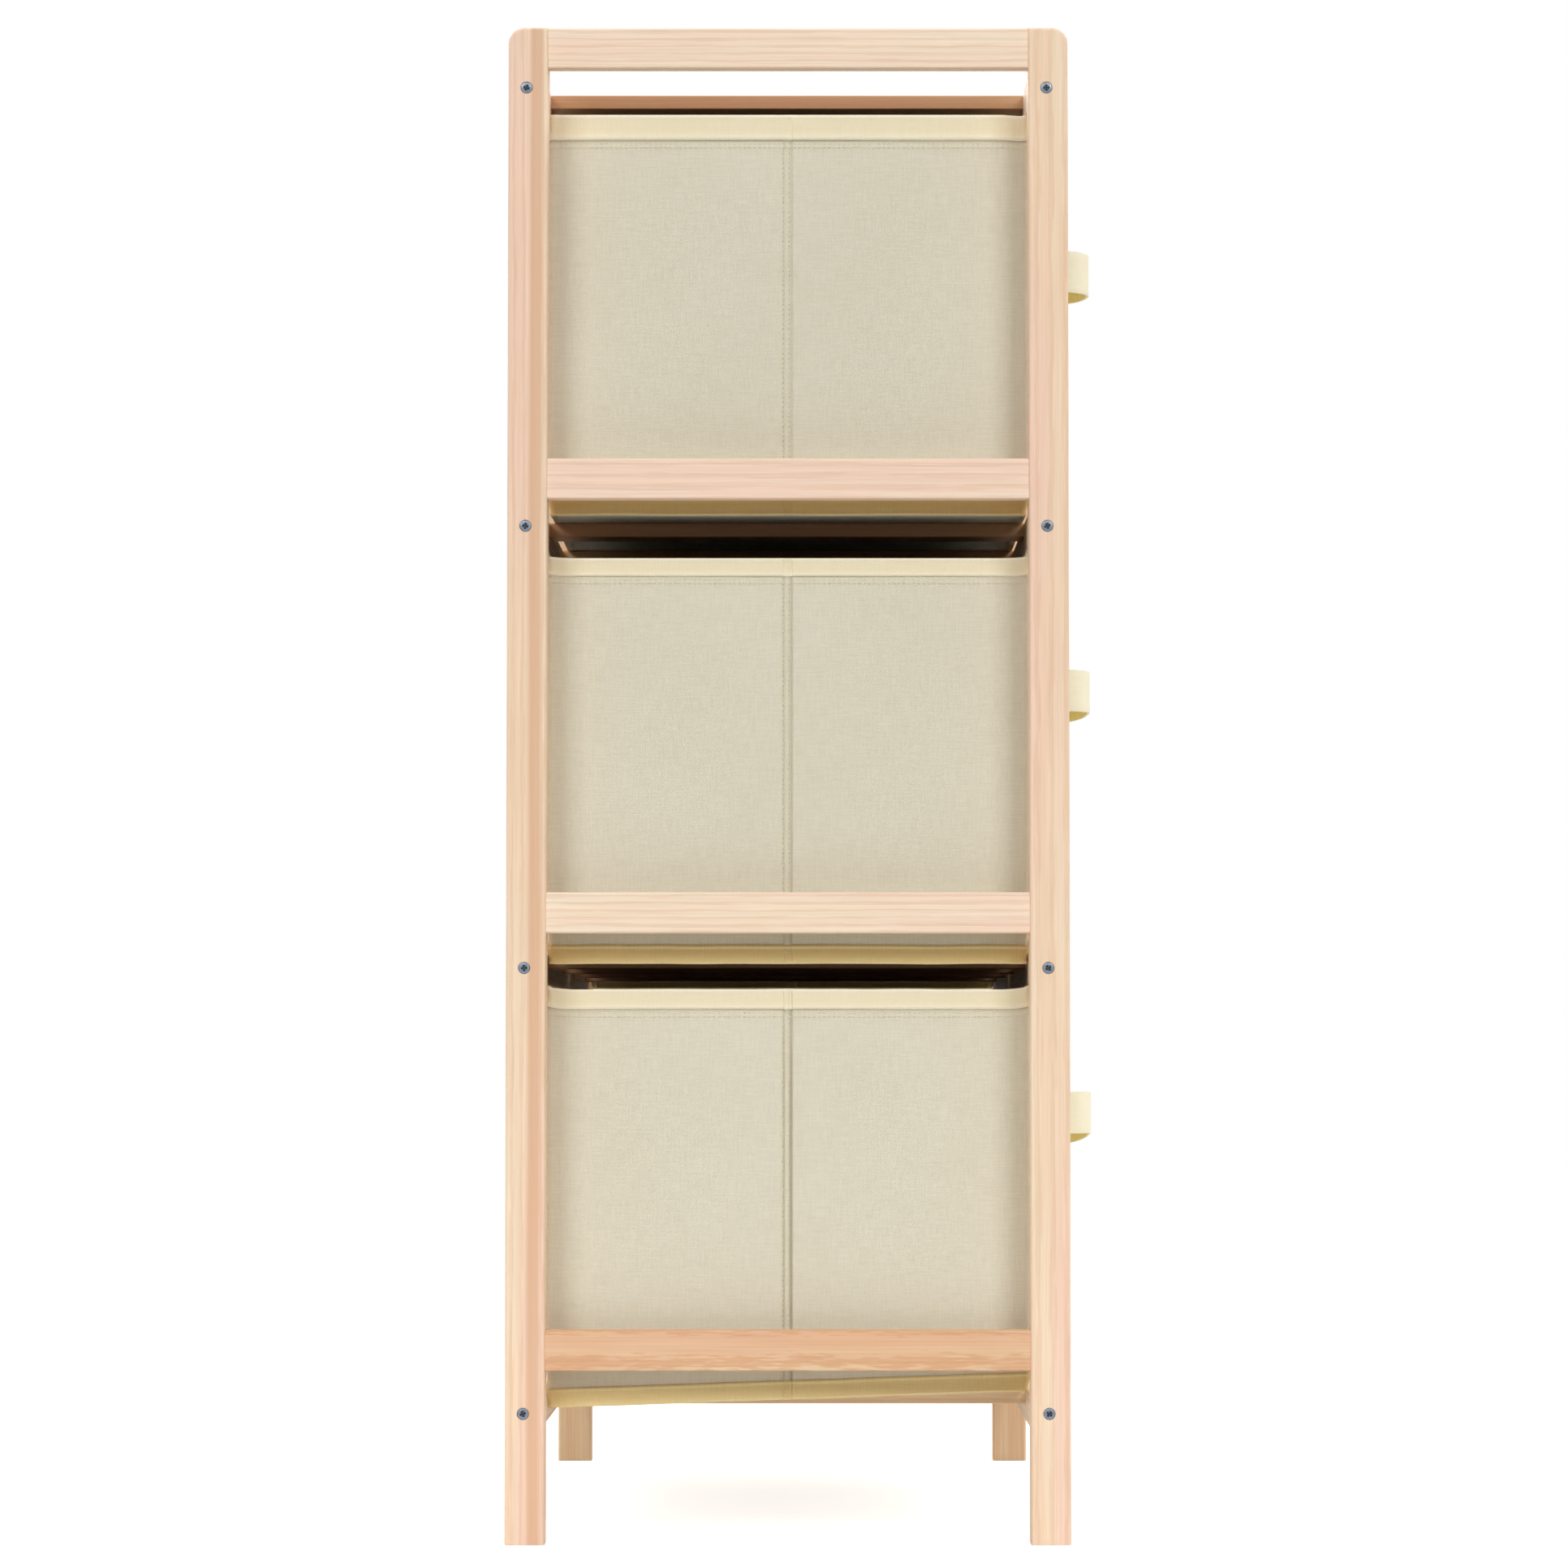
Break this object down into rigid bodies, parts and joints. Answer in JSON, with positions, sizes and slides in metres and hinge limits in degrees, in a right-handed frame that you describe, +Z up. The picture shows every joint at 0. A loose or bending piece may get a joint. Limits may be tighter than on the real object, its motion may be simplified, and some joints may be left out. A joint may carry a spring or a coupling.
{
  "type": "storage shelf with baskets",
  "caption": "Free-standing wooden storage shelf with open side frames, long rails and slats, and fabric baskets that slide out at the front by strap handles.",
  "frame": {"origin": "on the floor, at the middle of the box round the frame and the handles", "axes": "+Z up, +X towards the front where the baskets pull out, +Y along the shelf"},
  "size_m": [0.4102, 0.8, 1.04],
  "materials": {
    "frame_wood": "planed and left bare, pale pinkish cedar",
    "rail_wood": "planed and left bare",
    "slat_wood": "planed and left bare",
    "dowel_wood": "fluted, inside the joints",
    "screw_steel": "zinc plated",
    "basket_fabric": "plain woven beige polyester with pale yellow binding",
    "handle_webbing": "folded and stitched pale yellow strap",
    "base_board": "hardboard under fabric"
  },
  "bodies": {
    "frame": {"back_rail_bottom": "rail_wood", "back_rail_lower": "rail_wood", "back_rail_top": "rail_wood", "back_rail_upper": "rail_wood", "back_upright_lower": "frame_wood", "back_upright_middle": "frame_wood", "back_upright_upper": "frame_wood", "front_rail_bottom": "rail_wood", "front_rail_lower": "rail_wood", "front_rail_top": "rail_wood", "front_rail_upper": "rail_wood", "front_upright_lower": "frame_wood", "front_upright_middle": "frame_wood", "front_upright_upper": "frame_wood", "left_back_post": "frame_wood", "left_dowels": "dowel_wood", "left_front_post": "frame_wood", "left_screws": "screw_steel", "left_side_rail_bottom": "frame_wood", "left_side_rail_lower": "frame_wood", "left_side_rail_top": "frame_wood", "left_side_rail_upper": "frame_wood", "right_back_post": "frame_wood", "right_dowels": "dowel_wood", "right_front_post": "frame_wood", "right_screws": "screw_steel", "right_side_rail_bottom": "frame_wood", "right_side_rail_lower": "frame_wood", "right_side_rail_top": "frame_wood", "right_side_rail_upper": "frame_wood", "slat_screws": "screw_steel", "slats_bottom": "slat_wood", "slats_lower": "slat_wood", "slats_top": "slat_wood", "slats_upper": "slat_wood", "upright_dowels": "dowel_wood"},
    "basket_lower_left": {"basket_lower_left": "basket_fabric", "base_board_lower_left": "base_board", "handle_lower_left": "handle_webbing"},
    "basket_lower_right": {"basket_lower_right": "basket_fabric", "base_board_lower_right": "base_board", "handle_lower_right": "handle_webbing"},
    "basket_middle_left": {"basket_middle_left": "basket_fabric", "base_board_middle_left": "base_board", "handle_middle_left": "handle_webbing"},
    "basket_middle_right": {"basket_middle_right": "basket_fabric", "base_board_middle_right": "base_board", "handle_middle_right": "handle_webbing"},
    "basket_upper_left": {"basket_upper_left": "basket_fabric", "base_board_upper_left": "base_board", "handle_upper_left": "handle_webbing"},
    "basket_upper_right": {"basket_upper_right": "basket_fabric", "base_board_upper_right": "base_board", "handle_upper_right": "handle_webbing"}
  },
  "joints": [
    {"name": "basket_lower_left_slide", "type": "slide", "parent": "frame", "child": "basket_lower_left", "axis": [1, 0, 0], "range_m": [0, 0.25]},
    {"name": "basket_lower_right_slide", "type": "slide", "parent": "frame", "child": "basket_lower_right", "axis": [1, 0, 0], "range_m": [0, 0.25]},
    {"name": "basket_middle_left_slide", "type": "slide", "parent": "frame", "child": "basket_middle_left", "axis": [1, 0, 0], "range_m": [0, 0.25]},
    {"name": "basket_middle_right_slide", "type": "slide", "parent": "frame", "child": "basket_middle_right", "axis": [1, 0, 0], "range_m": [0, 0.25]},
    {"name": "basket_upper_left_slide", "type": "slide", "parent": "frame", "child": "basket_upper_left", "axis": [1, 0, 0], "range_m": [0, 0.25]},
    {"name": "basket_upper_right_slide", "type": "slide", "parent": "frame", "child": "basket_upper_right", "axis": [1, 0, 0], "range_m": [0, 0.25]}
  ]
}
